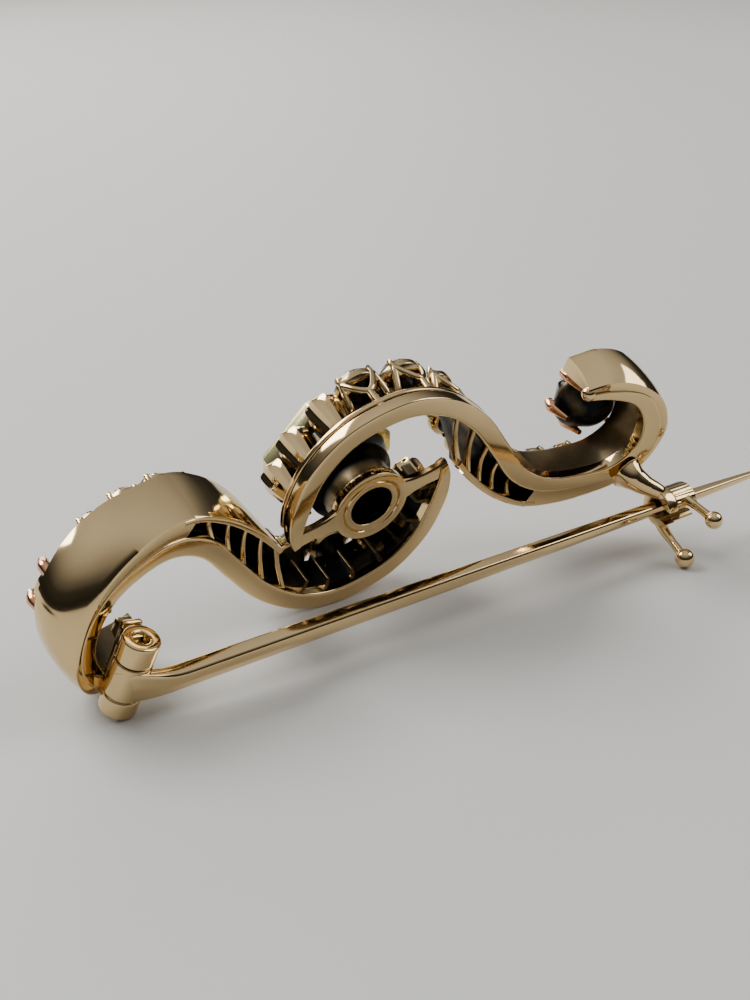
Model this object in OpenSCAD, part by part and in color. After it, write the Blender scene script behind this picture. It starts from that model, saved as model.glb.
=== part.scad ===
// Crossover scroll brooch with a step-cut emerald and old-cut diamonds.
// Each piece is drawn in the brooch's own frame: x along the bar, y across it and z out of
// the back. The module lay() then sets the whole brooch down on its long edge, as it lies.

/* [Bands] */
// Width of the flat back rail
rail_w = 1.4; // [1.0:0.1:1.6]
// Depth of the flat back rail, front to back
rail_t = 0.9; // [0.7:0.1:1.1]
// Width of the inner rim of the open channel
rim_w = 0.55; // [0.4:0.05:0.8]
// Depth of the bands from the back to the stone seats
band_depth = 3.6; // [3.2:0.1:4.0]
// Thickness of the fins between the open squares of the channel
fin_t = 0.42; // [0.3:0.02:0.6]
// Thickness of the polished side wall
wall_t = 0.5; // [0.4:0.05:0.7]

/* [Stones] */
// Diameter of the largest diamond in a band
diamond_d = 3.0; // [2.6:0.1:3.2]
// Share of its size that each diamond keeps after the one before it
diamond_taper = 0.925; // [0.9:0.005:0.95]
// Number of diamonds in one band
diamond_count = 9; // [7:1:9]
// Diameter of the round diamond at the end of a scroll
end_diamond_d = 4.6; // [4.0:0.1:4.8]
// Length of the emerald
emerald_l = 7.0; // [6.4:0.1:7.4]
// Width of the emerald
emerald_w = 5.6; // [5.0:0.1:5.8]
// Angle of the emerald's length to the bar
emerald_turn = 142; // [135:1:150]
// Clearance between a stone and its metal
stone_gap = 0.05; // [0.03:0.01:0.08]

/* [Centre boss] */
// Outer radius of the boss ring behind the emerald
boss_r = 2.78; // [2.5:0.02:3.0]
// Radius of the hole in the boss ring
boss_hole_r = 1.57; // [1.3:0.01:1.8]

/* [Hinge and pin] */
// Outer radius of the hinge barrel
barrel_r = 1.1; // [1.0:0.05:1.3]
// Radius of the rivet through the barrel
rivet_r = 0.45; // [0.35:0.05:0.55]
// Lean of the hinge barrel towards the pin, in degrees
barrel_lean = 16.2; // [10:0.2:20]
// Length of the pin from the hinge to its point
pin_l = 53.5; // [48:0.5:56]
// Width of the pin at its root
pin_w = 1.4; // [1.2:0.05:1.5]
// Thickness of the pin at its root
pin_t = 1.2; // [1.0:0.05:1.3]

/* [Catch] */
// Outer radius of the turning collar
collar_r = 1.32; // [1.25:0.01:1.4]
// Length of the turning collar
collar_l = 1.9; // [1.6:0.1:2.2]
// Radius of the ball on each lever
ball_r = 0.7; // [0.6:0.05:0.8]
// Width of the mouth that lets the pin out
mouth_w = 1.12; // [1.05:0.01:1.2]

/* [Resting pose] */
// Lean of the bands from upright as the brooch lies on its long edge, in degrees
rest_lean = 19.5; // [18:0.1:22]
// Rise of the catch end as it lies, in degrees
rest_roll = 1.8; // [0:0.1:4]

/* [Hidden] */

rose_gold = [0.72, 0.55, 0.40];
yellow_gold = [0.76, 0.70, 0.42];
diamond_white = [0.86, 0.88, 0.90];
emerald_green = [0.06, 0.38, 0.22];

// The wings bow backwards from the flat middle, by bow_rise at bow_reach from the centre
bow_start = 8;
bow_reach = 21;
bow_rise = 3;
function bow(x) = bow_rise * pow(max(0, abs(x) - bow_start) / (bow_reach - bow_start), 2);

// Stations of the upper band, seen from the back. The lower band is the same, turned half round.
// Outer edge, from the eye's left corner over the top and down to the scroll
edge_stations = [[-5.6, -2.2], [-6.2, -0.6], [-6.15, 1.7], [-5.0, 4.7], [-2.4, 7.2], [1.6, 8.3],
    [5.2, 7.5], [8.3, 5.2], [10.7, 2.1], [12.6, -0.5], [14.7, -1.75], [16.9, -1.75],
    [19.0, -1.05], [20.25, 0.6], [20.4, 2.6], [19.5, 4.3], [17.8, 4.85], [16.1, 4.9]];
// Polished wall, from the crossing round to the scroll's tip. From horn_station on it is the
// outer side of the solid horn. Columns: back edge x and y, front edge x and y
wall_stations = [
    [6.5, 1.3, 6.9, 0.6],
    [7.6, -0.1, 8.2, -1.0],
    [9.0, -1.6, 9.7, -2.65],
    [10.8, -3.1, 11.3, -4.0],
    [13.1, -4.3, 13.2, -4.9],
    [15.7, -4.4, 16.3, -5.2],
    [18.1, -3.7, 19.2, -5.0],
    [20.0, -2.55, 21.6, -3.8],
    [21.3, -0.8, 23.2, -1.7],
    [22.0, 1.6, 23.4, 0.5],
    [21.9, 3.4, 22.7, 3.2],
    [21.1, 5.1, 21.6, 5.4],
    [19.4, 6.2, 20.0, 6.8],
    [17.6, 6.4, 18.2, 7.0],
    [15.9, 5.9, 16.5, 6.3]];
rim_stations = [for (w = wall_stations) [w[0], w[1]]];
front_stations = [for (w = wall_stations) [w[2], w[3]]];
horn_station = 4;
// Stations of the outer edge beside the horn's first and last station, and at the rail's tip
horn_edge_from = 9.9;
horn_edge_to = 16.8;
rail_end = 16.9;
spline_steps = 3;

// Stones of a band: station of the first one on the edge, inset from the edge and seat depth
first_stone_station = 4.62;
stone_inset = 1.5;
seat_z = -4.35;
end_stone_at = [19.6, 1.7];
end_girdle_z = -5.74;
emerald_front_z = -7.0;
emerald_girdle_z = -6.62;

// Middle of the pin's knuckle, and the knuckles' reach along the hinge line from there
hinge_at = [-19.04, -3.19, 4.0];
knuckle_top = 3.0;
knuckle_low = 2.7;
pin_knuckle_half = 1.28;
knuckle_gap = 0.06;

// Line of the pin, and the wall of the catch that it passes through
pin_y = -3.4;
pin_z = 5.3;
catch_x = 22.35;
catch_wall_l = 0.9;
tube_r = 1.02;
tube_bore = 0.72;
collar_bore = 1.08;
lower_ball_at = [catch_x - 0.95, -4.95, 9.2];
upper_ball_at = [catch_x + 1.05, -2.2, 8.95];

// Drop and shift that set the brooch down as it lies
rest_drop = 7.818;
rest_back = 0.273;
rest_along = -5.551;
quality = 40;
facets = 12;

// Point on a Catmull-Rom curve through stations p, at parameter u in whole stations
function clamp_i(p, i) = p[max(0, min(len(p) - 1, i))];
function on_curve(p, u) =
    let (i = floor(min(u, len(p) - 1.0001)), t = u - i,
        a = clamp_i(p, i - 1), b = clamp_i(p, i), c = clamp_i(p, i + 1), d = clamp_i(p, i + 2))
    0.5 * (2 * b + (c - a) * t + (2 * a - 5 * b + 4 * c - d) * t * t
        + (3 * b - a - 3 * c + d) * t * t * t);
function heading(p, u) = let (v = on_curve(p, u + 0.01) - on_curve(p, u - 0.01)) v / norm(v);
// Unit normal to the right of the direction of travel
function right_of(p, u) = let (h = heading(p, u)) [h[1], -h[0]];

// Stone number i: parameter on the edge, centre and diameter
function stone_d(i) = diamond_d * pow(diamond_taper, max(0, i - 2));
function stone_xy(u, i) = on_curve(edge_stations, u)
    + right_of(edge_stations, u) * (stone_inset + stone_shift(u));
function stone_shift(u) = u < 6.5 ? 0 : min(0.35, (u - 6.5) * 0.35);
// Next parameter at which the two stones just clear each other
function next_u(u, i, v) =
    norm(stone_xy(v, i + 1) - stone_xy(u, i)) >= (stone_d(i) + stone_d(i + 1)) / 2 + 0.22
        ? v : next_u(u, i, v + 0.02);
function stone_us(i, u) = i >= diamond_count ? [] : concat([u],
    i + 1 < diamond_count ? stone_us(i + 1, next_u(u, i, u + 0.1)) : []);
stone_u = stone_us(0, first_stone_station);

// Sets a piece that is drawn in the brooch's own frame down on the surface, as it lies
module lay() {
    translate([rest_along, rest_back, rest_drop])
        rotate([90 + rest_lean, 0, 0])
            rotate([0, 0, rest_roll])
                children();
}

// The same thing on the upper band and, turned half round, on the lower band
module both_bands() {
    children();
    rotate([0, 0, 180])
        children();
}

// Closed solid through a row of cross-sections that all have the same number of points
module skin(sections) {
    k = len(sections[0]);
    n = len(sections);
    points = [for (s = sections) for (q = s) q];
    sides = [for (i = [0 : n - 2]) for (j = [0 : k - 1])
        let (a = i * k + j, b = i * k + (j + 1) % k, c = b + k, d = a + k)
        for (t = [[a, c, b], [a, d, c]]) t];
    ends = [[for (j = [0 : k - 1]) j], [for (j = [k - 1 : -1 : 0]) (n - 1) * k + j]];
    polyhedron(points, concat(sides, ends));
}

// Point of the bands at plan position p and depth z from their bowed back
function on_bow(p, z) = [p[0], p[1], z + bow(p[0])];

// Section of a bevelled bar on curve p at parameter u, between offsets r0 and r1 to its right
function bar_section(p, u, r0, r1) =
    let (o = on_curve(p, u), n = right_of(p, u), c = 0.16)
    [on_bow(o + n * r0, -c), on_bow(o + n * (r0 + c), 0), on_bow(o + n * (r1 - c), 0),
        on_bow(o + n * r1, -c), on_bow(o + n * r1, -rail_t), on_bow(o + n * r0, -rail_t)];

// Flat rail along the outer edge. It narrows a little on the horn and tapers to its tip
function rail_inset(u) = 0.12 * max(0, min(1, u - horn_edge_from));
function rail_outer(u) = rail_w - 1.6 * rail_inset(u) - 0.35 * max(0, u - 15);
module rail() {
    n = round(rail_end * spline_steps);
    skin([for (i = [0 : n]) let (u = rail_end * i / n)
        bar_section(edge_stations, u, rail_inset(u) / 3, rail_outer(u))]);
}

// Inner rim of the open channel, with its sections halfway between those of the wall
module rim() {
    n = horn_station * spline_steps + 1;
    skin([for (i = [0 : n]) let (u = max(0, (i - 0.5) / spline_steps))
        bar_section(rim_stations, u, -rim_w, -0.1)]);
}

// Fins across the channel: station on the edge and station on the wall that each one joins
fin_front = 3.3;
fins = [[6.5, 0.3], [7.15, 1.2], [7.8, 2.0], [8.4, 2.75], [9.0, 3.5]];
module fin(f) {
    a = on_curve(edge_stations, f[0]) + 0.9 * rail_w * right_of(edge_stations, f[0]);
    b = on_curve(rim_stations, f[1]) - 0.5 * rim_w * right_of(rim_stations, f[1]);
    h = (b - a) / norm(b - a);
    n = [h[1], -h[0]] * fin_t / 2;
    translate([0, 0, bow((a[0] + b[0]) / 2) - fin_front])
        linear_extrude(fin_front - 0.32)
            polygon([a + n, b + n, b - n, a - n]);
}

// Cross-section of the polished wall at parameter u: the outer side swells towards the front.
// The inner side is a thin wall along the channel and, in the horn, follows the rail's edge
wall_set_back = 0.24;
function horn_inner(u) =
    let (span = len(rim_stations) - 1 - horn_station,
        e = horn_edge_from + (u - horn_station) * (horn_edge_to - horn_edge_from) / span)
    on_curve(edge_stations, e) + 0.25 * right_of(edge_stations, e);
function wall_section(u) =
    let (back = on_curve(rim_stations, u), front = on_curve(front_stations, u),
        inward = -wall_t * right_of(rim_stations, u),
        horn = u >= horn_station,
        inner_back = horn ? horn_inner(u) : back + inward,
        inner_front = horn ? inner_back : front + inward)
    [on_bow(back, -wall_set_back), on_bow(back * 0.45 + front * 0.55, -0.32 * band_depth),
        on_bow(back * 0.1 + front * 0.9, -0.65 * band_depth), on_bow(front, -band_depth),
        on_bow(inner_front, -band_depth), on_bow(inner_back, -wall_set_back)];

// Polished side wall that closes into the horn of the scroll
module horn() {
    last = len(rim_stations) - 1;
    thin = [for (i = [spline_steps : horn_station * spline_steps - 1]) i / spline_steps];
    full = [for (i = [horn_station * spline_steps : last * spline_steps]) i / spline_steps];
    skin([for (u = concat(thin, [horn_station - 0.15], full)) wall_section(u)]);
}

// One slanted claw of a coronet, from the back rail out to the girdle
module claw(foot_r, head_r, foot_z, head_z, turn, w) {
    rotate([0, 0, turn])
        hull() {
            translate([foot_r - w / 2, -w / 2, foot_z - 0.05])
                cube([w, w, 0.05]);
            translate([head_r - w * 0.4, -w * 0.4, head_z])
                cube([w * 0.8, w * 0.8, 0.05]);
        }
}

// Open coronet under a round stone of diameter d, with its claws from foot_z to the seat
module coronet(d, claws, foot_z) {
    for (i = [0 : claws - 1])
        claw(d * 0.27, d / 2, foot_z, seat_z + 0.15, 360 * i / claws + 40, 0.42);
}

// Tapered seat ring under a round stone of diameter d, reaching back to depth root_z
module seat(d, root_z, sides) {
    r = d / 2;
    rotate_extrude($fn = sides)
        polygon([[r + 0.2, seat_z], [r + 0.2, seat_z + 0.5], [r - 0.15, root_z],
            [r - 0.5, root_z], [r - 0.28, seat_z]]);
}

// Fluted closed cup on the outer edge beside the emerald
cup_stations = [2.05, 2.95, 3.85];
cup_r = 1.12;
module cup() {
    rotate_extrude($fn = facets)
        polygon([[0, -0.4], [0.4, -0.6], [0.7, -1.4], [1.0, -2.6], [cup_r, -3.9],
            [cup_r, -4.3], [0, -4.2]]);
}

// Ring, tube and flared collar behind the emerald
module boss() {
    rotate_extrude($fn = 24)
        polygon([[boss_hole_r, -0.12], [2.02, -0.12], [2.1, -0.3], [2.2, -0.12], [boss_r, -0.12],
            [boss_r, -0.6], [2.5, -0.7], [2.5, -2.2], [3.15, -2.9], [3.15, -3.2], [2.75, -3.2],
            [2.1, -2.3], [2.1, -0.75], [boss_hole_r, -0.6]]);
}

// Struts that hold the boss in the corners of the eye
module strut_outline() {
    polygon([[2.3, 0.85], [3.2, 0.42], [5.0, 0.34], [5.9, 0.6], [5.9, -0.9], [4.9, -0.4],
        [3.2, -0.4], [2.3, -0.85]]);
}

// Tapering basket between the boss and the emerald's bezel
module basket() {
    difference() {
        hull() {
            translate([0, 0, -3.1])
                cylinder(r = 3.0, h = 0.1, $fn = 32);
            translate([0, 0, -5.55])
                emerald_block(emerald_l + 0.5, emerald_w + 0.5, 0.1);
        }
        hull() {
            translate([0, 0, -3.05])
                cylinder(r = 2.6, h = 0.1, $fn = 32);
            translate([0, 0, -5.6])
                emerald_block(emerald_l - 0.3, emerald_w - 0.3, 0.1);
        }
    }
}

// Rectangle with cut corners, l by w, turned to the emerald's angle
module emerald_outline(l, w) {
    c = 0.9;
    rotate([0, 0, emerald_turn])
        polygon([[l / 2, w / 2 - c], [l / 2 - c, w / 2], [c - l / 2, w / 2], [-l / 2, w / 2 - c],
            [-l / 2, c - w / 2], [c - l / 2, -w / 2], [l / 2 - c, -w / 2], [l / 2, c - w / 2]]);
}

module emerald_block(l, w, h) {
    linear_extrude(h)
        emerald_outline(l, w);
}

// Collet and claws of the round stone at a scroll's end
module end_collet() {
    rotate_extrude($fn = 16)
        polygon([[1.2, -0.9], [1.7, -0.9], [1.8, -1.6], [end_diamond_d / 2 + 0.28, -5.1],
            [end_diamond_d / 2 + 0.28, -5.45], [end_diamond_d / 2 - 0.3, -5.45], [1.3, -1.6]]);
    for (i = [0 : 5])
        rotate([0, 0, 60 * i + 12])
            translate([end_diamond_d / 2 + 0.26, 0, -6.35])
                cylinder(r = 0.26, h = 2.2, $fn = 6);
}

// Frame of the hinge: its base plate and the two outer knuckles, bored for the rivet
module on_hinge() {
    translate(hinge_at)
        rotate([0, 0, -barrel_lean])
            children();
}

module along_hinge(y0, y1, r) {
    translate([0, y0, 0])
        rotate([-90, 0, 0])
            cylinder(r = r, h = y1 - y0, $fn = quality);
}

module hinge_knuckles() {
    inner = pin_knuckle_half + knuckle_gap;
    back = barrel_r + 0.18;
    color(rose_gold)
        lay()
            on_hinge()
                difference() {
                    union() {
                        along_hinge(inner, knuckle_top, barrel_r);
                        along_hinge(-knuckle_low, -inner, barrel_r);
                        translate([0, -inner - 0.3, -back - 0.33])
                            cube([0.7, inner + knuckle_top + 0.1, 0.33]);
                        translate([-0.7, inner, -back - 0.1])
                            cube([1.4, knuckle_top - inner - 0.2, back]);
                        translate([-0.55, inner, hinge_neck_z - hinge_at[2]])
                            cube([1.1, 1.2, 1.2]);
                        hinge_foot(inner);
                    }
                    along_hinge(-4, 4, rivet_r + 0.03);
                }
}

// Foot under the lower knuckle, cut to the slope of the bowed rail below it
hinge_neck_z = 1.55;
function foot_z(x) = bow(hinge_at[0] + x * cos(barrel_lean) - knuckle_low * sin(barrel_lean))
    + 0.05 - hinge_at[2];
module hinge_foot(inner) {
    translate([0, -inner, 0])
        rotate([90, 0, 0])
            linear_extrude(knuckle_low - inner - 0.15)
                polygon([[-0.8, foot_z(-0.8)], [0.8, foot_z(0.8)], [0.8, 0], [-0.8, 0]]);
}

// Wall of the catch that the pin passes through, its tube for the collar, the post from the
// scroll and the lower lever with its ball
module rod(a, b, r) {
    v = b - a;
    translate(a)
        rotate([0, acos(v[2] / norm(v)), atan2(v[1], v[0])])
            cylinder(r = r, h = norm(v), $fn = 24);
}

module along_catch(x0, x1, r) {
    translate([x0, pin_y, pin_z])
        rotate([0, 90, 0])
            cylinder(r = r, h = x1 - x0, $fn = quality);
}

module mouth(x0, x1) {
    translate([x0, pin_y - mouth_w / 2, pin_z])
        cube([x1 - x0, mouth_w, 4]);
}

module catch_hook() {
    wall_x0 = catch_x - catch_wall_l;
    tube_x1 = catch_x + collar_l + 0.1;
    color(rose_gold)
        lay() {
            difference() {
                along_catch(wall_x0, catch_x, collar_r + 0.1);
                along_catch(wall_x0 - 1, catch_x + 1, tube_bore);
                mouth(wall_x0 - 1, catch_x + 1);
            }
            difference() {
                along_catch(catch_x - 0.2, tube_x1, tube_r);
                along_catch(wall_x0 - 1, tube_x1 + 1, tube_bore);
                mouth(wall_x0 - 1, tube_x1 + 1);
            }
            translate([20.3, -1.6, bow(21.2) + 0.05])
                cylinder(r1 = 1.0, r2 = 0.6, h = 0.9, $fn = 32);
            rod([20.45, -1.7, 3.6], [catch_x - 0.45, -2.4, 4.9], 0.5);
            rod([catch_x - 0.4, -4.3, 5.2], [catch_x - 0.55, -4.75, 6.4], 0.4);
            rod([catch_x - 0.55, -4.75, 6.3], lower_ball_at, 0.34);
            translate(lower_ball_at)
                sphere(r = ball_r, $fn = quality);
        }
}

// All the soldered metalwork in one piece
module frame() {
    color(rose_gold)
        lay() {
            both_bands() {
                rail();
                rim();
                horn();
                for (f = fins)
                    fin(f);
                for (u = cup_stations)
                    translate(cup_place(u))
                        cup();
                for (i = [0 : diamond_count - 1])
                    translate(stone_place(i))
                        if (stone_u[i] < coronets_until) {
                            coronet(stone_d(i), 4, -0.45);
                            seat(stone_d(i), seat_z + 1.1, facets);
                        } else {
                            seat(stone_d(i), -band_depth + 0.5, 8);
                        }
                translate(on_bow(end_stone_at, 0))
                    end_collet();
                translate([0, 0, -0.62])
                    linear_extrude(0.45)
                        strut_outline();
            }
            boss();
            basket();
        }
}

coronets_until = 9.2;
function stone_place(i) = on_bow(stone_xy(stone_u[i], i), 0);
function cup_place(u) = let (c = on_curve(edge_stations, u)
    + right_of(edge_stations, u) * 0.95) [c[0], c[1], 0];

// Rectangular bezel of greener gold, with a ledge for the stone
module emerald_setting() {
    color(yellow_gold)
        lay()
            difference() {
                translate([0, 0, emerald_front_z])
                    emerald_block(emerald_l + 0.8, emerald_w + 0.8, 1.4);
                translate([0, 0, emerald_front_z - 0.5])
                    emerald_block(emerald_l + 2 * stone_gap, emerald_w + 2 * stone_gap, 1.35);
                translate([0, 0, emerald_front_z])
                    emerald_block(emerald_l - 0.5, emerald_w - 0.5, 2);
            }
}

// Octagonal ring of points, for a step-cut stone
function step_ring(l, w, z) =
    let (c = 0.9 * min(l / emerald_l, w / emerald_w))
    [for (p = [[l / 2, w / 2 - c], [l / 2 - c, w / 2], [c - l / 2, w / 2], [-l / 2, w / 2 - c],
        [-l / 2, c - w / 2], [c - l / 2, -w / 2], [l / 2 - c, -w / 2], [l / 2, c - w / 2]])
        [p[0], p[1], z]];

// Step-cut emerald: table, two crown steps, girdle and three pavilion steps
module emerald() {
    l = emerald_l;
    w = emerald_w;
    g = emerald_girdle_z;
    rings = [step_ring(l * 0.62, w * 0.58, g - 0.85), step_ring(l * 0.84, w * 0.8, g - 0.6),
        step_ring(l, w, g - 0.12), step_ring(l, w, g + 0.12),
        step_ring(l * 0.84, w * 0.76, g + 0.7), step_ring(l * 0.6, w * 0.46, g + 1.35),
        step_ring(l * 0.42, w * 0.1, g + 1.9)];
    color(emerald_green)
        lay()
            rotate([0, 0, emerald_turn])
                skin(rings);
}

// Round old-cut diamond of diameter d with its girdle at the origin and its table forward
module round_stone(d, sides) {
    r = d / 2 - stone_gap;
    table = -0.26 * d;
    culet = 0.34 * d;
    color(diamond_white)
        rotate_extrude($fn = sides)
            polygon([[0, table], [0.48 * r, table], [r, -0.06], [r, 0], [0.12 * r, culet],
                [0, culet]]);
}

module band_stone(i, turn) {
    lay()
        rotate([0, 0, turn])
            translate(stone_place(i - 1) + [0, 0, seat_z - 0.25])
                round_stone(stone_d(i - 1), i < 6 ? 12 : 8);
}

module end_stone(turn) {
    lay()
        rotate([0, 0, turn])
            translate(on_bow(end_stone_at, end_girdle_z))
                round_stone(end_diamond_d, 12);
}

// Rivet of the hinge, set back from the open ends of the barrel
module hinge_rivet() {
    color(rose_gold)
        lay()
            on_hinge()
                along_hinge(0.45 - knuckle_low, knuckle_top - 0.55, rivet_r);
}

// Pin with the knuckle that it turns on
module pin_stem() {
    color(rose_gold)
        lay()
            difference() {
                union() {
                    on_hinge()
                        along_hinge(-pin_knuckle_half, pin_knuckle_half, barrel_r);
                    intersection() {
                        pin_side();
                        pin_top();
                    }
                }
                on_hinge()
                    along_hinge(-4, 4, rivet_r + 0.02);
            }
}

// The pin's outline from the side, drawn in x and z and given width along y
module pin_side() {
    x0 = hinge_at[0] - 0.2;
    x1 = hinge_at[0] + pin_l;
    translate([0, pin_y + 2, 0])
        rotate([90, 0, 0])
            linear_extrude(4)
                polygon([[x0, pin_z - 0.75], [x0 + 2, pin_z - pin_t / 2], [x0 + 20, pin_z - 0.5],
                    [catch_x, pin_z - 0.4], [x1 - 5, pin_z - 0.25], [x1, pin_z - 0.04],
                    [x1, pin_z + 0.04], [x1 - 5, pin_z + 0.25], [catch_x, pin_z + 0.4],
                    [x0 + 20, pin_z + 0.5], [x0 + 2, pin_z + pin_t / 2 - 0.05],
                    [x0 + 0.6, pin_z + 0.3], [x0, pin_z - 0.1]]);
}

// The pin's outline from the back, drawn in x and y and given depth along z
module pin_top() {
    x0 = hinge_at[0] - 0.2;
    x1 = hinge_at[0] + pin_l;
    linear_extrude(12)
        polygon([[x0, pin_y - 0.6], [x0 + 3, pin_y - pin_w / 2], [x0 + 20, pin_y - 0.6],
            [catch_x, pin_y - 0.42], [x1 - 5, pin_y - 0.3], [x1, pin_y - 0.05],
            [x1, pin_y + 0.05], [x1 - 5, pin_y + 0.3], [catch_x, pin_y + 0.42],
            [x0 + 20, pin_y + 0.6], [x0 + 3, pin_y + pin_w / 2], [x0, pin_y + 1.3]]);
}

// Turning collar of the catch, with its lever and ball
module catch_collar() {
    x0 = catch_x + 0.06;
    x1 = catch_x + collar_l;
    color(rose_gold)
        lay() {
            difference() {
                along_catch(x0, x1, collar_r);
                along_catch(x0 - 1, x1 + 1, collar_bore);
                mouth(x0 - 1, x1 + 1);
            }
            difference() {
                rod([catch_x + 0.95, -2.5, 5.6], upper_ball_at, 0.33);
                along_catch(x0 - 1, x1 + 1, collar_bore);
            }
            translate(upper_ball_at)
                sphere(r = ball_r - 0.05, $fn = quality);
        }
}

frame();
emerald_setting();
emerald();
hinge_knuckles();
hinge_rivet();
pin_stem();
catch_hook();
catch_collar();
end_stone(180);  // end_diamond_left
end_stone(0);  // end_diamond_right
band_stone(1, 0);  // upper_diamond_1
band_stone(2, 0);  // upper_diamond_2
band_stone(3, 0);  // upper_diamond_3
band_stone(4, 0);  // upper_diamond_4
band_stone(5, 0);  // upper_diamond_5
band_stone(6, 0);  // upper_diamond_6
band_stone(7, 0);  // upper_diamond_7
band_stone(8, 0);  // upper_diamond_8
band_stone(9, 0);  // upper_diamond_9
band_stone(1, 180);  // lower_diamond_1
band_stone(2, 180);  // lower_diamond_2
band_stone(3, 180);  // lower_diamond_3
band_stone(4, 180);  // lower_diamond_4
band_stone(5, 180);  // lower_diamond_5
band_stone(6, 180);  // lower_diamond_6
band_stone(7, 180);  // lower_diamond_7
band_stone(8, 180);  // lower_diamond_8
band_stone(9, 180);  // lower_diamond_9
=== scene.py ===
"""Looks of the crossover scroll brooch: polished rose gold bands with painted shade, partly
tarnish, in their recesses, old-cut diamonds and a step-cut emerald, lying on a pale floor in soft
light.

Shapes are worked out in the brooch's own frame, in millimetres: x along the bar, y across it
and z out of the back. to_row() then sets them down as the brooch lies, in metres."""
import math

import bpy
import numpy as np
from mathutils import Matrix


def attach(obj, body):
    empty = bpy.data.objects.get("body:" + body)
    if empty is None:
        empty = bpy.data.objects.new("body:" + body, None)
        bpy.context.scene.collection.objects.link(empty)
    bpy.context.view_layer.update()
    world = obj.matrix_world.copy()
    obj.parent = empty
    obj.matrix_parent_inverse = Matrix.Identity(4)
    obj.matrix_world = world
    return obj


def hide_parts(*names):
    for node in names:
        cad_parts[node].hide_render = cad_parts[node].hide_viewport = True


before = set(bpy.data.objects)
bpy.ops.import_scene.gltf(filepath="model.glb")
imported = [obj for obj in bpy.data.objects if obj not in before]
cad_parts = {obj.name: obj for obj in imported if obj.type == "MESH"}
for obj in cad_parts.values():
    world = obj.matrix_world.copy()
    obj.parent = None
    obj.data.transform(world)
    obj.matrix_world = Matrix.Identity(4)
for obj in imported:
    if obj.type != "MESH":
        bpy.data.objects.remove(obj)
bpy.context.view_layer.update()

MM = 0.001
BODY, PIN_BODY, COLLAR_BODY = "brooch", "pin", "collar"

# Resting pose: lean and roll in degrees, shift in millimetres
REST_LEAN = 19.5
REST_ROLL = 1.8
REST_SHIFT = np.array([-5.551, 0.273, 7.818])

# Bands
RAIL_W, RAIL_T = 1.4, 0.9
RIM_W = 0.5
BAND_DEPTH = 3.6
BOW_START, BOW_REACH, BOW_RISE = 8.0, 21.0, 3.0
# Plan of the upper band's outer edge, from the eye's left corner to the scroll's tip
EDGE = np.array([
    [-5.6, -2.2], [-6.2, -0.6], [-6.15, 1.7], [-5.0, 4.7], [-2.4, 7.2], [1.6, 8.3],
    [5.2, 7.5], [8.3, 5.2], [10.7, 2.1], [12.6, -0.5], [14.7, -1.75], [16.9, -1.75],
    [19.0, -1.05], [20.25, 0.6], [20.4, 2.6], [19.5, 4.3], [17.8, 4.85], [16.1, 4.9]])
# Plan of the polished wall from the crossing to the tip: back edge x and y, front edge x and y
WALL = np.array([
    [6.5, 1.3, 6.9, 0.6], [7.6, -0.1, 8.2, -1.0], [9.0, -1.6, 9.7, -2.65],
    [10.8, -3.1, 11.3, -4.0], [13.1, -4.3, 13.2, -4.9], [15.7, -4.4, 16.3, -5.2],
    [18.1, -3.7, 19.2, -5.0], [20.0, -2.55, 21.6, -3.8], [21.3, -0.8, 23.2, -1.7],
    [22.0, 1.6, 23.4, 0.5], [21.9, 3.4, 22.7, 3.2], [21.1, 5.1, 21.6, 5.4],
    [19.4, 6.2, 20.0, 6.8], [17.6, 6.4, 18.2, 7.0], [15.9, 5.9, 16.5, 6.3]])
RIM, FRONT = WALL[:, :2], WALL[:, 2:]
HORN_STATION = 4
HORN_EDGE_FROM, HORN_EDGE_TO, RAIL_END = 9.9, 16.8, 16.9

# Stones: sizes, stations along EDGE, and depths measured from the back
DIAMOND_D, DIAMOND_TAPER, DIAMOND_COUNT = 3.0, 0.925, 9
FIRST_STONE_STATION, STONE_INSET, STONE_SPACE = 4.62, 1.5, 0.22
SHIFT_FROM, SHIFT_MOST = 6.5, 0.35
SEAT_Z, DIAMOND_GIRDLE_Z, DIAMOND_TURN = -4.35, -4.6, 0.3
CORONETS_UNTIL = 9.2
END_STONE_AT, END_STONE_D, END_GIRDLE_Z = (19.6, 1.7), 4.6, -5.74
EMERALD_L, EMERALD_W, EMERALD_TURN = 7.0, 5.6, 142.0
EMERALD_CUT, EMERALD_GIRDLE_Z = 0.9, -6.62
STONE_GAP = 0.05
# Radius of the small face that closes a pole
POLE_R = 0.01


# Frame of the brooch

def turn_x(degrees):
    """Matrix of a turn about x."""
    c, s = math.cos(math.radians(degrees)), math.sin(math.radians(degrees))
    return np.array([[1, 0, 0], [0, c, -s], [0, s, c]])


def turn_z(degrees):
    """Matrix of a turn about z."""
    c, s = math.cos(math.radians(degrees)), math.sin(math.radians(degrees))
    return np.array([[c, -s, 0], [s, c, 0], [0, 0, 1]])


LAY = turn_x(90 + REST_LEAN) @ turn_z(REST_ROLL)


def to_row(points):
    """Row-frame metres of points in the brooch's frame: turned by LAY, then shifted."""
    return (np.asarray(points, float) @ LAY.T + REST_SHIFT) * MM


def bow(x):
    """Rise of the back at x: a parabola beyond BOW_START on either side, 0 between."""
    reach = np.maximum(0, np.abs(x) - BOW_START) / (BOW_REACH - BOW_START)
    return BOW_RISE * reach ** 2


# Curves and outlines

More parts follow.
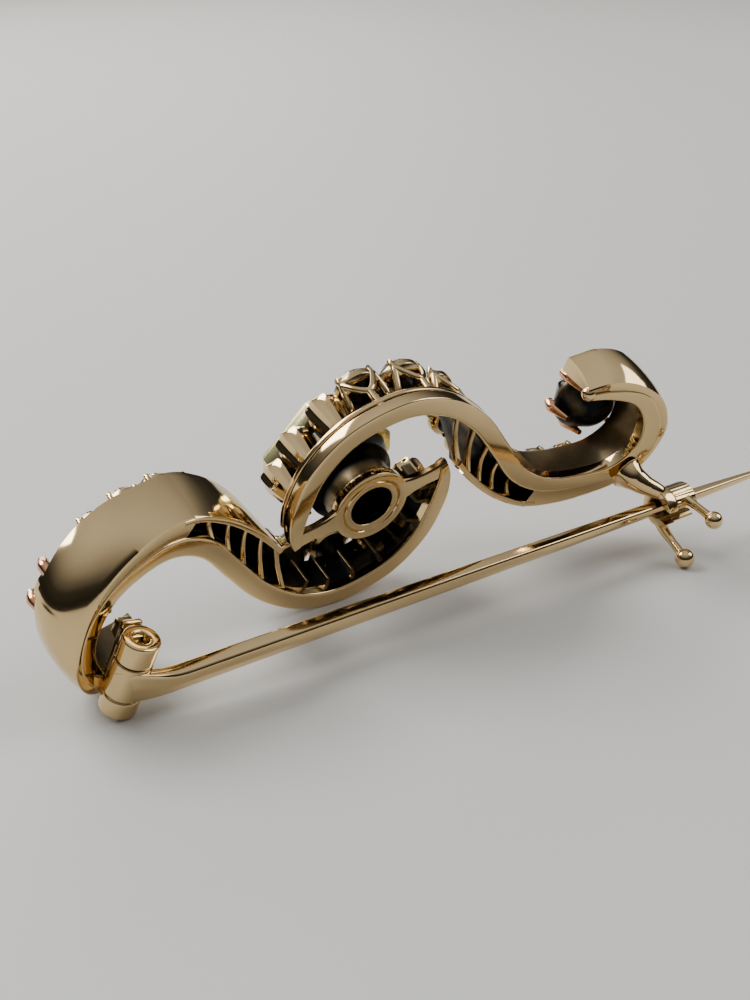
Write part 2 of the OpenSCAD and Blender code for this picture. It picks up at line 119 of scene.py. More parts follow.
def curve(stations, u):
    """Catmull-Rom curve: the cubic through stations i and i+1 whose slopes there are half the
    step between their neighbours, at parameters u counted in stations."""
    u = np.atleast_1d(np.asarray(u, float))
    last = len(stations) - 1
    i = np.floor(np.minimum(u, last - 1e-4)).astype(int)
    t = (u - i)[:, None]
    a, b, c, d = (stations[np.clip(i + k, 0, last)] for k in (-1, 0, 1, 2))
    return 0.5 * (2 * b + (c - a) * t + (2 * a - 5 * b + 4 * c - d) * t ** 2
                  + (3 * b - a - 3 * c + d) * t ** 3)


def heading(stations, u):
    """Unit direction of travel along the curve, by a small central difference."""
    u = np.atleast_1d(np.asarray(u, float))
    v = curve(stations, u + 0.01) - curve(stations, u - 0.01)
    return v / np.linalg.norm(v, axis=1, keepdims=True)


def rightward(stations, u):
    """Unit normal to the right of the direction of travel."""
    h = heading(stations, u)
    return np.stack([h[:, 1], -h[:, 0]], 1)


def box(x0, y0, x1, y1):
    """Corners of a rectangle between two opposite corners."""
    return [[x0, y0], [x1, y0], [x1, y1], [x0, y1]]


def rounded(corners, radius, steps=4):
    """Closed outline with softened corners: each corner is replaced by a quadratic curve from
    radius before it to radius after it."""
    corners = np.asarray(corners, float)
    radius = np.broadcast_to(np.asarray(radius, float), len(corners))
    before, after = np.roll(corners, 1, 0), np.roll(corners, -1, 0)
    t = np.linspace(0, 1, steps + 1)[None, :, None]

    def towards(q):
        """Points on the way to q, at radius from each corner but short of halfway."""
        d = q - corners
        length = np.linalg.norm(d, axis=1)
        return corners + d / length[:, None] * np.minimum(radius, 0.48 * length)[:, None]

    p, q = towards(before)[:, None], towards(after)[:, None]
    return ((1 - t) ** 2 * p + 2 * t * (1 - t) * corners[:, None] + t ** 2 * q).reshape(-1, 2)


def at_height(xy, z):
    """Points of an outline in x and y, all at one height."""
    return np.column_stack([xy, np.full(len(xy), z)])


# Surfaces: each is (points, faces), with points in the brooch's frame

def closed_sweep(sections):
    """Closed solid through n rings of k points: quads between rings, one face on each end."""
    sections = np.asarray(sections, float)
    n, k = sections.shape[:2]
    ring = np.arange(n * k).reshape(n, k)
    a, b = ring[:-1], np.roll(ring, -1, 1)[:-1]
    c, d = np.roll(ring, -1, 1)[1:], ring[1:]
    quads = np.stack([a, b, c, d], -1).reshape(-1, 4).tolist()
    return outward(sections.reshape(-1, 3), quads + [ring[0][::-1].tolist(), ring[-1].tolist()])


def closed_ring(sections):
    """Closed solid through rings that meet end to end, such as a torus."""
    sections = np.asarray(sections, float)
    n, k = sections.shape[:2]
    ring = np.arange(n * k).reshape(n, k)
    a, d = ring, np.roll(ring, -1, 0)
    quads = np.stack([a, np.roll(a, -1, 1), np.roll(d, -1, 1), d], -1).reshape(-1, 4).tolist()
    return outward(sections.reshape(-1, 3), quads)


def outward(points, faces):
    """The same surface, turned inside out if its signed volume is negative."""
    volume = 0.0
    for f in faces:
        p = points[f]
        volume += np.dot(p[0], np.cross(p[1:-1], p[2:]).sum(0))
    return points, faces if volume > 0 else [f[::-1] for f in faces]


def lathe(profile, sides, at=(0, 0, 0), flutes=0, flute_depth=0.0):
    """Profile of (radius, height) turned round the z axis, closed at both ends. The radius may
    be hollowed between sharp ridges: by flute_depth times a sine's size, flutes times round."""
    profile = np.asarray(profile, float)
    a = np.linspace(0, 2 * math.pi, sides, endpoint=False)
    wave = 1 - flute_depth * np.abs(np.sin(flutes * a / 2))
    r = profile[:, 0][:, None] * wave
    grid = np.stack([r * np.cos(a), r * np.sin(a),
                     np.broadcast_to(profile[:, 1][:, None], r.shape)], -1)
    return closed_sweep(grid + np.asarray(at))


def lathe_ring(outline, sides, at=(0, 0, 0)):
    """Closed outline of (radius, height) turned round the z axis into a ring."""
    outline = np.asarray(outline, float)
    a = np.linspace(0, 2 * math.pi, sides, endpoint=False)[:, None]
    r, z = outline[:, 0][None], outline[:, 1][None]
    grid = np.stack([r * np.cos(a), r * np.sin(a), z + 0 * a], -1)
    return closed_ring(grid + np.asarray(at))


def tube(path, radius, sides):
    """Round bar along a path: at each point a circle stands square to the path. The radius may
    vary along it."""
    path = np.asarray(path, float)
    radius = np.broadcast_to(np.asarray(radius, float), len(path))[:, None, None]
    t = np.gradient(path, axis=0)
    t /= np.linalg.norm(t, axis=1, keepdims=True)
    askew = np.array([0.31, 0.22, 0.92])
    side = np.cross(t, askew)
    side /= np.linalg.norm(side, axis=1, keepdims=True)
    top = np.cross(side, t)
    a = np.linspace(0, 2 * math.pi, sides, endpoint=False)[None, :, None]
    return closed_sweep(path[:, None] + radius * (np.cos(a) * side[:, None]
                                                  + np.sin(a) * top[:, None]))


def ball(at, radius):
    """Sphere: a half circle of heights turned round, with small closed poles."""
    a = np.linspace(-math.pi / 2 + 0.02, math.pi / 2 - 0.02, 21)
    return lathe(np.stack([radius * np.cos(a), radius * np.sin(a)], 1), 40, at)


def smooth_path(points, steps):
    """Catmull-Rom curve through points in space, in even steps from each to the next."""
    points = np.asarray(points, float)
    return curve(points, np.linspace(0, len(points) - 1, steps * (len(points) - 1) + 1))


def strip(stations, u, outline):
    """Bar along a plan curve: the closed outline of (offset to the right, depth) stands square
    to the curve at each parameter u, and the bow of the back is added to its depth."""
    outline = np.asarray(outline, float)
    if outline.ndim == 2:
        outline = np.broadcast_to(outline, (len(u),) + outline.shape)
    base, side = curve(stations, u), rightward(stations, u)
    xy = base[:, None] + side[:, None] * outline[..., :1]
    z = outline[..., 1] + bow(xy[..., 0])
    return closed_sweep(np.concatenate([xy, z[..., None]], -1))


def along_y(surface):
    """The surface laid over, so that what stood along z runs along y."""
    points, faces = surface
    return outward(points[:, [0, 2, 1]] * [1, 1, -1], faces)


def turned(surface, degrees):
    """The surface turned about the brooch's z axis."""
    return surface[0] @ turn_z(degrees).T, surface[1]


def joined(surfaces):
    """Several surfaces as one, with their face indices shifted in turn."""
    points, faces, count = [], [], 0
    for p, f in surfaces:
        points.append(p)
        faces += [[i + count for i in face] for face in f]
        count += len(p)
    return np.concatenate(points), faces


def even(level):
    """Darkening that is the same at every point."""
    return lambda p: np.full(len(p), level)


def piece(name, surface, material, slot, body=BODY, tarnish=None, crease=38.0, on=None):
    """Puts a surface into the scene as one object. on brings its points from axes of their own
    into the brooch's frame, and the darkening function gives each of them there its painted
    shade, partly tarnish, from 0 to 1.
    crease is the angle in degrees past which an edge stays sharp; 0 leaves every facet flat."""
    points, faces = surface
    mesh = bpy.data.meshes.new(name)
    local = on(points) if on else points
    mesh.from_pydata(to_row(local).tolist(), [], faces)
    mesh.polygons.foreach_set("use_smooth", [crease > 0] * len(mesh.polygons))
    if crease > 0:
        mesh.set_sharp_from_angle(angle=math.radians(crease))
    # Darkening attribute: painted shade in recesses, partly tarnish
    dark = mesh.attributes.new("tarnish", "FLOAT", "POINT")
    dark.data.foreach_set("value", tarnish(local) if tarnish else np.zeros(len(local)))
    mesh.materials.append(material)
    mesh.update()
    obj = bpy.data.objects.new(name, mesh)
    bpy.context.scene.collection.objects.link(obj)
    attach(obj, body)
    return obj


# Materials

# Sockets of a colour mix: share, first and second colour
COLOUR_MIX_SOCKETS = (0, 6, 7)
# Share of mottling that breaks up the painted shade and tarnish, and the roughness they reach
SHADE_AND_TARNISH_SPREAD, SHADE_AND_TARNISH_ROUGHNESS = 0.5, 0.42


def nodes_of(name):
    """New material, with its node tree and its shader."""
    material = bpy.data.materials.new(name)
    material.use_nodes = True
    tree = material.node_tree
    return material, tree, tree.nodes["Principled BSDF"]


def feed(tree, socket, value):
    """Links an output into a socket, or sets the socket to a plain number or colour."""
    if isinstance(value, bpy.types.NodeSocket):
        tree.links.new(value, socket)
    else:
        socket.default_value = value


def dress(tree, node, values):
    """Feeds a node's sockets, given by name."""
    for key, value in values.items():
        feed(tree, node.inputs[key], value)


def add(tree, kind, **values):
    """New node, with its settings and sockets given by name."""
    node = tree.nodes.new(kind)
    for key, value in values.items():
        if hasattr(node, key):
            setattr(node, key, value)
        else:
            feed(tree, node.inputs[key], value)
    return node


def noise(tree, **values):
    """Noise on the piece's Object coordinates."""
    place = add(tree, "ShaderNodeTexCoord")
    return add(tree, "ShaderNodeTexNoise", Vector=place.outputs["Object"],
               **values).outputs["Fac"]


def worked(tree, operation, *terms, clamp=True):
    """Result of a sum or product, held between 0 and 1 unless clamp is off."""
    node = add(tree, "ShaderNodeMath", operation=operation, use_clamp=clamp)
    for socket, term in zip(node.inputs, terms):
        feed(tree, socket, term)
    return node.outputs[0]


def mixed(tree, share, first, second):
    """Colour between the first and the second, by a share from 0 to 1."""
    node = add(tree, "ShaderNodeMix", data_type="RGBA")
    for k, value in zip(COLOUR_MIX_SOCKETS, (share, first, second)):
        feed(tree, node.inputs[k], value)
    return node.outputs[2]


def toned(colour, level):
    """The colour made darker or lighter by a factor."""
    return (*[min(1.0, c * level) for c in colour], 1)


def gold(name, colour, dark, roughness):
    """Polished gold: a thin warm mottling, faint waves and hairline scratches in the gloss,
    and the darkening attribute, broken up by the mottling, that fades it to a rough blue-black:
    painted shade in recesses, partly tarnish. dark is the colour of that darkening."""
    material, tree, shader = nodes_of(name)
    mottle = noise(tree, Scale=420.0, Detail=4.0, Roughness=0.6)
    # Painted shade, partly tarnish, read from the darkening attribute
    shade_level = add(tree, "ShaderNodeAttribute", attribute_name="tarnish").outputs["Fac"]
    spread = worked(tree, "MULTIPLY_ADD", mottle, SHADE_AND_TARNISH_SPREAD, -SHADE_AND_TARNISH_SPREAD / 2,
                    clamp=False)
    amount = worked(tree, "MULTIPLY", worked(tree, "ADD", spread, shade_level), shade_level)
    gloss = add(tree, "ShaderNodeMapRange", Value=amount)
    dress(tree, gloss, {"To Min": roughness, "To Max": SHADE_AND_TARNISH_ROUGHNESS})
    scratches = add(tree, "ShaderNodeBump", Strength=0.05, Distance=0.00002,
                    Height=noise(tree, Scale=2600.0, Detail=3.0))
    waves = add(tree, "ShaderNodeBump", Strength=0.06, Distance=0.0001,
                Height=noise(tree, Scale=160.0, Detail=2.0), Normal=scratches.outputs["Normal"])
    tone = mixed(tree, mottle, toned(colour, 0.93), toned(colour, 1.05))
    dress(tree, shader, {"Base Color": mixed(tree, amount, tone, toned(dark, 1)),
                         "Roughness": gloss.outputs["Result"], "Metallic": 1.0,
                         "Normal": waves.outputs["Normal"]})
    return material


def clear_stone(name, colour, ior, cloud):
    """Clear stone: full transmission with its own index, and faint inclusions that tint it."""
    material, tree, shader = nodes_of(name)
    veil = noise(tree, Scale=900.0, Detail=5.0, Roughness=0.7)
    dress(tree, shader, {"Base Color": mixed(tree, veil, toned(colour, 1), toned(colour, cloud)),
                         "Roughness": 0.0, "IOR": ior, "Transmission Weight": 1.0})
    return material


# The third colour of each gold is the blue-black of its painted shade and tarnish
ROSE = gold("rose_gold_polished", (0.72, 0.525, 0.265), (0.008, 0.010, 0.013), 0.09)
YELLOW = gold("green_gold_polished", (0.84, 0.76, 0.38), (0.03, 0.03, 0.015), 0.26)
PRONG = gold("red_gold_claws", (0.70, 0.37, 0.20), (0.02, 0.015, 0.015), 0.14)
DIAMOND = clear_stone("diamond_clear", (0.97, 0.98, 1.0), 2.42, 0.92)
EMERALD = clear_stone("emerald_green", (0.05, 0.55, 0.27), 1.58, 0.7)


def both(name, make, material, slot, **more):
    """The same piece on the upper band and, turned half round, on the lower band."""
    surface = make()
    return [piece("upper_" + name, surface, material, slot, **more),
            piece("lower_" + name, turned(surface, 180), material, slot, **more)]


# Stones' places, as the seats are cut

def stone_d(i):
    """Diameter of stone i: full for the first three, then each smaller by the taper."""
    return DIAMOND_D * DIAMOND_TAPER ** max(0, i - 2)


def stone_shift(u):
    """Extra inset at u, growing over one station so that small stones lie nearer the middle."""
    return SHIFT_MOST * min(1.0, max(0.0, u - SHIFT_FROM))


def stone_xy(u):
    """Plan of a stone's axis at u on the edge."""
    return (curve(EDGE, u) + rightward(EDGE, u) * (STONE_INSET + stone_shift(u)))[0]


def stone_stations():
    """Parameters on the edge where each stone just clears the one before it."""
    us = [FIRST_STONE_STATION]
    for i in range(DIAMOND_COUNT - 1):
        v, need = us[-1] + 0.1, (stone_d(i) + stone_d(i + 1)) / 2 + STONE_SPACE
        while np.linalg.norm(stone_xy(v) - stone_xy(us[-1])) < need:
            v += 0.02
        us.append(v)
    return us


STONE_U = stone_stations()


def stone_place(i):
    """Stone i's axis where it meets the back."""
    x, y = stone_xy(STONE_U[i])
    return np.array([x, y, float(bow(x))])


# The end stone's axis where it meets the back
END_AT = np.array([*END_STONE_AT, float(bow(END_STONE_AT[0]))])


# Bands

# Share of the rail's width at its start, and stations where it is full and where it tapers
RAIL_START, RAIL_FULL_FROM, RAIL_TAPERS_FROM = 0.22, 2.4, 15
TIP_IN, TIP_R = 0.42, 0.52


def back_rail():
    """Flat polished rail: a rectangle with softened edges along the outer edge. It widens from
    a narrow start at the eye's corner, narrows a little on the horn and tapers at the tip."""
    u = np.linspace(0.32, RAIL_END, 340)
    inset = 0.12 * np.clip(u - HORN_EDGE_FROM, 0, 1)
    start = np.clip(u / RAIL_FULL_FROM, 0, 1)
    width = RAIL_W * (RAIL_START + (1 - RAIL_START) * start * (2 - start))
    outer = width - 1.6 * inset - 0.35 * np.maximum(0, u - RAIL_TAPERS_FROM)
    low = 0.03 + inset / 3
    unit = rounded(box(0, 0, 1, -1), [0.16, 0.16, 0.05, 0.05], 5)
    across = low[:, None] + unit[None, :, 0] * (outer - low)[:, None]
    depth = np.broadcast_to(unit[None, :, 1] * RAIL_T, across.shape)
    return strip(EDGE, u, np.stack([across, depth], -1))


def tip_bead():
    """Round end of the rail at the scroll's tip."""
    x, y = (curve(EDGE, RAIL_END) + TIP_IN * rightward(EDGE, RAIL_END))[0]
    return ball((x, y, float(bow(x)) - TIP_IN), TIP_R)


def step_wire():
    """Thin wire that runs as a second step below the rail's outer side, by the emerald."""
    u = np.linspace(1.1, 9.0, 220)
    return strip(EDGE, u, rounded(box(0, -1.02, 0.34, -1.4), 0.12))


def inner_rim():
    """Inner rim of the channel, rounded on its back."""
    u = np.linspace(0, HORN_STATION + 0.33, 110)
    return strip(RIM, u, rounded(box(-RIM_W, 0, -0.1, -RAIL_T), [0.16, 0.12, 0.05, 0.05]))


FIN_HALF, FIN_DEPTH = 0.21, 3.3
# Each fin's parameter on the outer edge and on the inner rim
FINS = [(6.5, 0.3), (7.15, 1.2), (7.8, 2.0), (8.4, 2.75), (9.0, 3.5)]


def wall_grown(u):
    """Share of the full depth that the side wall has at u: a parabola from nothing at 0.5 to
    all of it at 1.8."""
    f = np.clip((u - 0.5) / 1.3, 0, 1)
    return f * (2 - f)


def fins():
    """Cross-walls of the channel. Each is a slab from rail to rim whose back dips in the
    middle, with softened edges. It is as deep at the rim as the side wall there."""
    outline = rounded(box(-FIN_HALF, 0, FIN_HALF, -1), [0.16, 0.16, 0.03, 0.03])
    t = np.linspace(0, 1, 24)
    dip = 0.3 + 0.35 * np.sin(math.pi * t)
    walls = []
    for edge_u, rim_u in FINS:
        a = (curve(EDGE, edge_u) + 0.9 * RAIL_W * rightward(EDGE, edge_u))[0]
        b = (curve(RIM, rim_u) - 0.5 * RIM_W * rightward(RIM, rim_u))[0]
        along = (b - a) / np.linalg.norm(b - a)
        side = np.array([along[1], -along[0]])
        middle = a + (b - a) * t[:, None]
        xy = middle[:, None] + side * outline[None, :, :1]
        deep = FIN_DEPTH * (1 - t + t * max(0.25, wall_grown(rim_u)))
        z = -dip[:, None] + outline[None, :, 1] * (deep - dip)[:, None]
        z = z + bow((a[0] + b[0]) / 2)
        walls.append(closed_sweep(np.concatenate([xy, z[..., None]], -1)))
    return joined(walls)


def horn_inner(u):
    """Inner edge of the solid horn, a little inside the rail's edge."""
    stretch = HORN_EDGE_TO - HORN_EDGE_FROM
    e = HORN_EDGE_FROM + (u - HORN_STATION) * stretch / (len(RIM) - 1 - HORN_STATION)
    return curve(EDGE, e) + 0.25 * rightward(EDGE, e)


def wall_profile(back, front, inner_back, inner_front, grown):
    """Rings of a wall: the outer side bulges from the back edge to the front edge and ends in a
    low lip. Behind the lip lie the flat front, the inner side and the softened back edge. grown
    is the share of the depth at each section; above 1 it only raises the lip."""
    grown = np.broadcast_to(np.reshape(grown, (-1, 1, 1)), (len(back), 1, 1))
    level = np.minimum(grown, 1)
    t = np.linspace(0, 1, 12)[None, :, None]
    bulge = 1 - (1 - t) ** 2.2
    xy = [back[:, None] * (1 - bulge) + front[:, None] * bulge]
    z = [(-0.1 - (BAND_DEPTH - 0.2) * t) * grown]
    across = inner_front - front
    for share, height in ((0.04, BAND_DEPTH * grown), (0.08, BAND_DEPTH * grown),
                          (0.11, BAND_DEPTH * level), (1, BAND_DEPTH * level),
                          (1, (BAND_DEPTH - 0.06) * level)):
        xy.append((front + share * across)[:, None])
        z.append(-height)
    xy += [inner_back[:, None], (back + 0.1 * (inner_back - back))[:, None]]
    z += [-0.24 * level, -0.03 * level]
    xy, z = np.concatenate(xy, 1), np.concatenate(z, 1)
    return closed_sweep(np.concatenate([xy, z + bow(xy[..., :1])], -1))


# Points in each ring of a wall, and those that bound its inner side
WALL_POINTS, WALL_INNER = 19, (16, 17)
FRONT_DEEPER = 0.15


def wall_inside_shade(p):
    """Painted shade on a wall's inner side, and on nothing else on it."""
    return np.isin(np.arange(len(p)) % WALL_POINTS, WALL_INNER) * 1.0


def front_pull(u):
    """How far the wall's front edge is drawn in and deepened at u: 1 along the small stones,
    fading to 0 towards the crossing and the tip."""
    return np.clip((u - 2.6) / 1.4, 0, 1) * np.clip((9.6 - u) / 1.6, 0, 1)


def wall_front(u):
    """Front edge of the wall, drawn in a little towards the band's middle."""
    pull = 0.03 + 0.22 * front_pull(u)[:, None]
    return curve(FRONT, u) - pull * rightward(FRONT, u)


def channel_wall():
    """Polished side wall along the open channel: thin, bulging towards the front, and growing
    to its full depth from a low start."""
    u = np.linspace(0.6, HORN_STATION + 0.05, 100)
    grown = wall_grown(u)
    back = curve(RIM, u)
    front = back + (wall_front(u) - back) * grown[:, None]
    inward = -0.45 * rightward(RIM, u)
    return wall_profile(back, front, back + inward, front + inward,
                        grown * (1 + FRONT_DEEPER * front_pull(u)))


def horn_solid():
    """Horn of the scroll: the wall closes across to the rail and tapers to the tip."""
    u = np.linspace(HORN_STATION - 0.05, len(RIM) - 1, 240)
    back, front = curve(RIM, u), wall_front(u)
    inner = horn_inner(np.maximum(u, HORN_STATION))
    return wall_profile(back, front, inner, inner, 1 + FRONT_DEEPER * front_pull(u))


def depth_shade(p):
    """Painted shade by depth: none to 0.5 mm under the back, and full from 0.9 mm."""
    return np.clip((-(p[:, 2] - bow(p[:, 0])) - 0.5) / 0.4, 0, 1)


def build_bands():
    """Rails, wires, rims, fins and walls of both bands. Gives back the rails."""
    rails = both("back_rail", back_rail, ROSE, "rose_gold")
    both("tip_bead", tip_bead, ROSE, "rose_gold")
    # The step wire is evenly a little darker
    both("step_wire", step_wire, ROSE, "rose_gold", tarnish=even(0.12))
    both("inner_rim", inner_rim, ROSE, "rose_gold")
    # Fins: painted shade deeper under the back
    both("fins", fins, ROSE, "rose_gold", tarnish=depth_shade)
    # Walls and horn: painted shade on their inner side
    both("channel_wall", channel_wall, ROSE, "rose_gold", tarnish=wall_inside_shade)
    both("horn", horn_solid, ROSE, "rose_gold", tarnish=lambda p: 0.88 * wall_inside_shade(p))
    return rails


# Coronets, seats and cups

# A coronet's foot, and how far behind the girdle its collars rise at the middle
CORONET_FOOT_Z, COLLAR_RISE = -0.7, 1.9
CONE_SIDES = 40


def cone_point(centre, radius, angle, z):
    """Points at an angle and radius round a stone's axis, at depth z."""
    return np.stack([centre[0] + radius * np.cos(angle), centre[1] + radius * np.sin(angle),
                     centre[2] + z + 0 * angle], -1)


def coronet(i):
    """Openwork mount of one stone: a U-shaped collar between the two outer claws, half a
    collar on either side of them, a stem from the rail to the middle collar, and four claws.
    The cone's radius grows evenly from rail to girdle."""
    centre, r = stone_place(i), stone_d(i) / 2
    out = -rightward(EDGE, STONE_U[i])[0]
    face = math.atan2(out[1], out[0])
    quarter = math.pi / 2
    crest = SEAT_Z + COLLAR_RISE
    bars = []

    def radius_at(z):
        """Radius of the coronet's cone at depth z."""
        f = (z - CORONET_FOOT_Z) / (SEAT_Z - CORONET_FOOT_Z)
        return r * (0.72 + 0.36 * f)

    for k, first, last in ((0, -1, 1), (1, -1, 0.04), (3, -0.04, 1)):
        middle = face + quarter * k
        t = np.linspace(first, last, 25)
        z = crest - 1.55 * np.abs(t) ** 1.7
        bars.append(tube(cone_point(centre, radius_at(z), middle + t * quarter / 2, z), 0.25, 12))
        if k == 0:
            z = np.linspace(CORONET_FOOT_Z, crest, 10)
            bars.append(tube(cone_point(centre, radius_at(z), np.full(10, middle), z),
                             np.linspace(0.36, 0.24, 10), 12))
    for k in range(4):
        corner = face + quarter / 2 + quarter * k
        length = 1.2 if k in (0, 3) else 0.55
        z = np.append(np.linspace(SEAT_Z + length, SEAT_Z - 0.2, 10), SEAT_Z - 0.34)
        reach = np.append(radius_at(z[:-1]) - 0.04, r * 0.93)
        bars.append(tube(cone_point(centre, reach, np.full(11, corner), z),
                         np.append(np.full(10, 0.22), 0.12), 12))
    return joined(bars)


def stone_cone(i):
    """Thin closed cone behind a stone, from just inside its seat to a small foot: three rings
    of its inside, which stays bright, and then three of its outside, dark with painted shade."""
    centre, r = stone_place(i), stone_d(i) / 2
    inside = [[POLE_R, SEAT_Z + 1.02 * r], [0.3 * r, SEAT_Z + 0.88 * r],
              [r - 0.1, SEAT_Z + 0.16]]
    outside = [[r + 0.02, SEAT_Z + 0.14], [0.42 * r, SEAT_Z + 1.02 * r],
               [POLE_R, SEAT_Z + 1.14 * r]]
    return lathe(inside + outside, CONE_SIDES, centre)


def cone_tarnish(p):
    """Painted shade on the cones: none on the inside of each and full on its outside."""
    cone = np.repeat([0.0, 0.0, 0.0, 1.0, 1.0, 1.0], CONE_SIDES)
    return np.tile(cone, len(p) // len(cone))


def gallery_wall():
    """Inner wall of the gallery, under the rail's inner edge and behind the coronets. It is
    painted dark all over as shade.
    """
    start, top = 0.9, -0.8
    u = np.linspace(start, HORN_EDGE_FROM, 200)
    low = -1.0 - 2.3 * np.clip(u - start, 0, 1)
    across = np.broadcast_to([1.34, 1.46, 1.46, 1.34], (len(u), 4))
    depth = np.stack([np.full(len(u), top), np.full(len(u), top), low, low], 1)
    return strip(EDGE, u, np.stack([across, depth], -1))


def gallery_bars():
    """Low upright bars on the gallery wall's inner side, evenly set along the eye."""
    outline = rounded([[1.3, -0.16], [2.0, -0.11], [2.0, 0.11], [1.3, 0.16]],
                      [0.02, 0.1, 0.1, 0.02])
    bars = []
    for u in np.arange(1.5, 6.4, 0.62):
        base, side, along = (f(EDGE, u)[0] for f in (curve, rightward, heading))
        xy = base + outline[:, :1] * side + outline[:, 1:] * along
        bars.append(closed_sweep([at_height(xy, z) for z in (-0.75, -3.25)]))
    return joined(bars)


def seat_ring(i):
    """Thin tapered ring that the stone sits in."""
    centre, r = stone_place(i), stone_d(i) / 2
    return lathe_ring(rounded([[r + 0.16, SEAT_Z], [r + 0.12, SEAT_Z + 0.45],
                               [r - 0.3, SEAT_Z + 0.7], [r - 0.24, SEAT_Z]], 0.06, 3),
                      48, centre)


def seat_cone(i):
    """Closed cone behind a small stone on the horn, which is given painted shade."""
    centre, r = stone_place(i), stone_d(i) / 2
    return lathe_ring(rounded([[r + 0.18, SEAT_Z], [r + 0.16, SEAT_Z + 0.5],
                               [r - 0.15, -BAND_DEPTH + 0.5], [r - 0.5, -BAND_DEPTH + 0.5],
                               [r - 0.26, SEAT_Z]], 0.06, 3), 40, centre)


def bead_claws(i):
    """Four short claws over the girdle of a small stone."""
    centre, r = stone_place(i), stone_d(i) / 2
    turn = math.atan2(*rightward(EDGE, STONE_U[i])[0][::-1]) + math.pi / 4
    z = np.linspace(SEAT_Z + 0.6, SEAT_Z - 0.32, 8)
    reach = np.append(np.full(7, r + 0.12), r * 0.95)
    width = [0.14, 0.17, 0.19, 0.2, 0.2, 0.2, 0.18, 0.09]
    return joined([tube(cone_point(centre, reach, np.full(8, turn + 2 * math.pi * k / 4), z),
                        width, 10) for k in range(4)])


def each(make, stones):
    """Makes one piece's surface from what make gives for each of the stones."""
    return lambda: joined([make(i) for i in stones])


def build_seats():
    """Coronets in the eye, seats on the horn, and the gallery behind them. All but the horn's
    claws get painted shade.
    """
    stones = range(DIAMOND_COUNT)
    large = [i for i in stones if STONE_U[i] < CORONETS_UNTIL]
    small = [i for i in stones if STONE_U[i] >= CORONETS_UNTIL]
    # Coronets: a little painted shade, deeper under the back
    both("coronets", each(coronet, large), ROSE, "rose_gold",
         tarnish=lambda p: 0.3 * depth_shade(p))
    both("stone_cones", each(stone_cone, stones), ROSE, "rose_gold", tarnish=cone_tarnish)
    # Painted shade: the gallery wall fully dark, its bars nearly so
    both("gallery_wall", gallery_wall, ROSE, "rose_gold", tarnish=even(1.0))
    both("gallery_bars", gallery_bars, ROSE, "rose_gold", tarnish=even(0.88))
    # Painted shade: half on the seat rings, a third on the horn's seats
    both("seat_rings", each(seat_ring, large), ROSE, "rose_gold", tarnish=even(0.5))
    both("horn_seats", each(seat_cone, small), ROSE, "rose_gold", tarnish=even(0.35))
    both("horn_claws", each(bead_claws, small), ROSE, "rose_gold")


CUP_STATIONS, CUP_FLUTES, CUP_FLUTE_DEPTH = (2.05, 2.95, 3.85), 8, 0.13
CUP_R = 1.25


def cups():
    """Fluted closed cups on the outer edge beside the emerald, swelling towards the front."""
    side = curve(np.array([[0.3, -0.75], [0.6, -0.95], [0.86, -1.5], [1.1, -2.4],
                           [CUP_R, -3.3], [CUP_R - 0.02, -3.95], [0.95, -4.28],
                           [0.3, -4.25]]), np.linspace(0, 7, 43))
    profile = np.concatenate([[[POLE_R, side[0, 1]]], side, [[POLE_R, side[-1, 1]]]])
    shells = []
    for u in CUP_STATIONS:
        x, y = (curve(EDGE, u) + 0.95 * rightward(EDGE, u))[0]
        shells.append(lathe(profile, 96, (x, y, 0), CUP_FLUTES, CUP_FLUTE_DEPTH))
    return joined(shells)


def cup_tarnish(p):
    """Painted shade at the cups' narrow feet, fading out towards the front."""
    return np.clip(1.1 - (-p[:, 2] - 0.9) / 0.9, 0, 1)


# Centre

BOSS_R, BOSS_HOLE_R, BOSS_Z = 2.78, 1.57, -0.12
STRUT_TURN = 12.4
# Half width of a strut at distances from the centre
STRUT_SIDE = np.array([[2.2, 1.25], [2.7, 0.92], [3.3, 0.68], [4.2, 0.55], [5.0, 0.6],
                       [6.0, 0.75]])


def boss_ring():
    """Ring behind the emerald: a flat annulus with a fine groove and softened edges."""
    return lathe_ring(rounded([[BOSS_HOLE_R, BOSS_Z], [1.98, BOSS_Z], [2.1, -0.34],
                               [2.22, BOSS_Z], [BOSS_R, BOSS_Z], [BOSS_R, -0.72],
                               [BOSS_HOLE_R, -0.72]],
                              [0.1, 0.05, 0.04, 0.05, 0.1, 0.03, 0.03]), 120)


def boss_tube():
    """Tube and flared collar from the ring to the basket."""
    return lathe_ring(rounded([[2.5, -0.68], [2.5, -2.2], [3.15, -2.9], [3.15, -3.2],
                               [2.75, -3.2], [2.1, -2.3], [2.1, -0.68]], 0.12), 96)


def strut():
    """Strut from the ring to the eye's corner: a flat outline, wide where it meets the ring
    and the corner, given thickness and a softened edge by rings that grow narrower."""
    outline = np.concatenate([STRUT_SIDE, STRUT_SIDE[::-1] * [1, -1]])
    flat = closed_sweep([at_height(outline * [1, narrow], z) for z, narrow in
                         ((-0.62, 1), (-0.26, 1), (-0.2, 0.86), (-0.14, 0.78))])
    return turned(flat, STRUT_TURN)


def on_emerald(points):
    """From the emerald's own axes to the brooch's frame."""
    return points @ turn_z(EMERALD_TURN).T


def octagon_ring(l, w, z, steps=3, radius=0.12):
    """The emerald's outline at another length and width, at depth z: a rectangle with its
    corners cut off in proportion and then softened."""
    cut = EMERALD_CUT * min(l / EMERALD_L, w / EMERALD_W)
    a, b = l / 2, w / 2
    corners = [[a, b - cut], [a - cut, b], [cut - a, b], [-a, b - cut],
               [-a, cut - b], [cut - a, -b], [a - cut, -b], [a, cut - b]]
    return at_height(rounded(corners, radius, steps), z)


